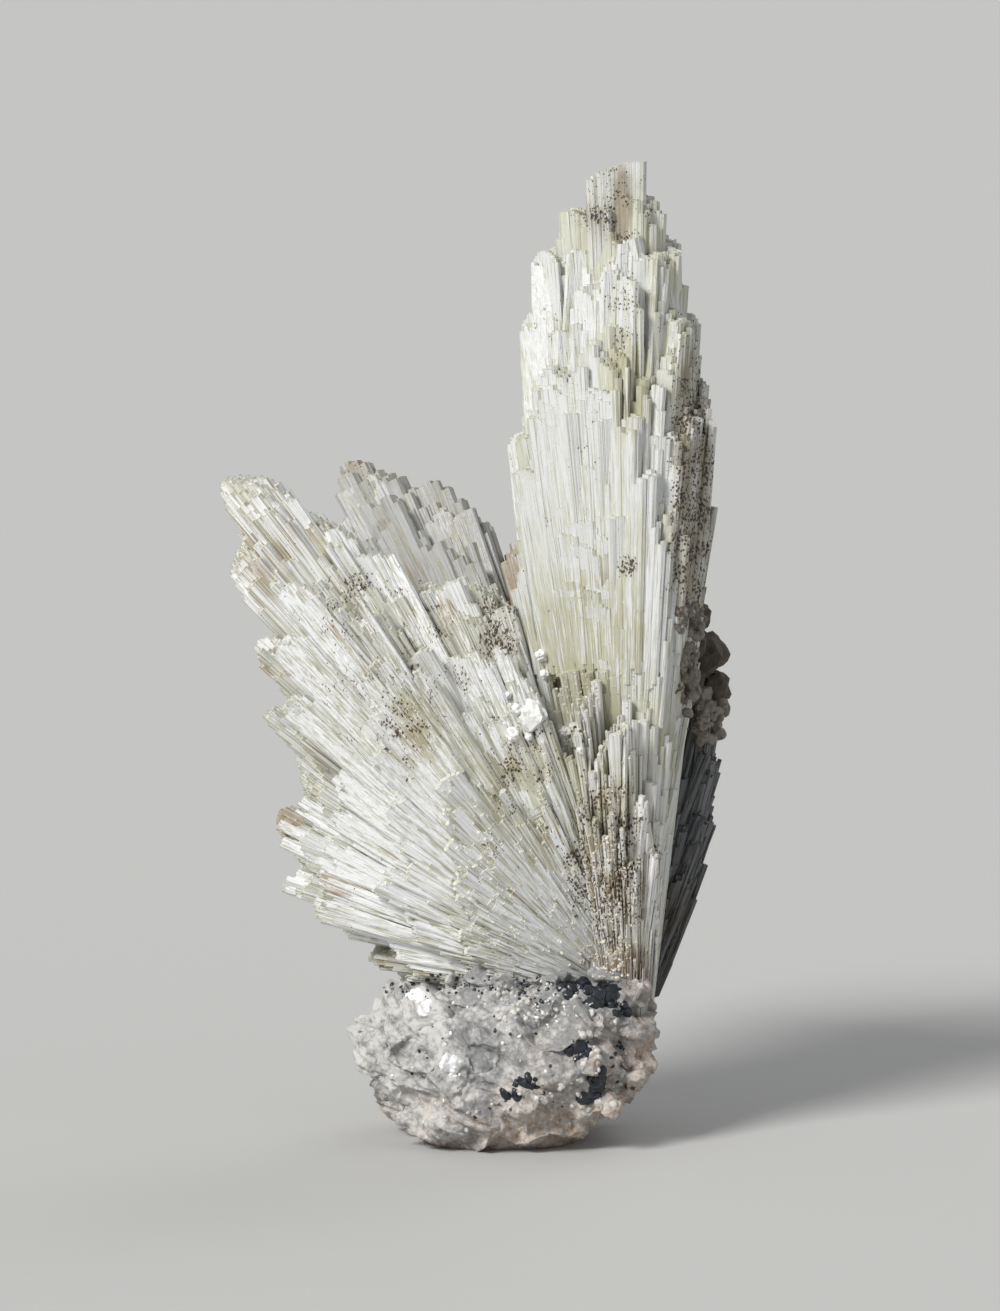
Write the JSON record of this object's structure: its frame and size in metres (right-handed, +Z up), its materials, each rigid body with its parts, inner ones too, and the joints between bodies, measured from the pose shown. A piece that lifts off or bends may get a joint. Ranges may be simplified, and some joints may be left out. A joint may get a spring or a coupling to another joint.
{
  "type": "strontianite specimen",
  "caption": "Upright sprays of flat, chisel-tipped pale strontianite crystals, fanned from one corner of a lump of grey matrix rock that stands on a flat foot.",
  "frame": {"origin": "middle of the matrix's flat foot, on the surface that the specimen stands on", "axes": "+Z up along the tall spray, +X to the right seen from the front, +Y away from the front"},
  "size_m": [0.0356, 0.0294, 0.069],
  "materials": {
    "strontianite": "translucent pale greenish white crystal, vitreous on flat faces and frosted at the tips",
    "matrix_rock": "rough mottled grey and tan rock with white calcite and dark sphalerite grains"
  },
  "bodies": {
    "root": {"matrix": "matrix_rock", "left_fan": "strontianite", "tall_spray": "strontianite", "front_spray": "strontianite", "back_spray": "strontianite", "back_middle_spray": "strontianite", "right_spray": "strontianite"}
  },
  "joints": []
}
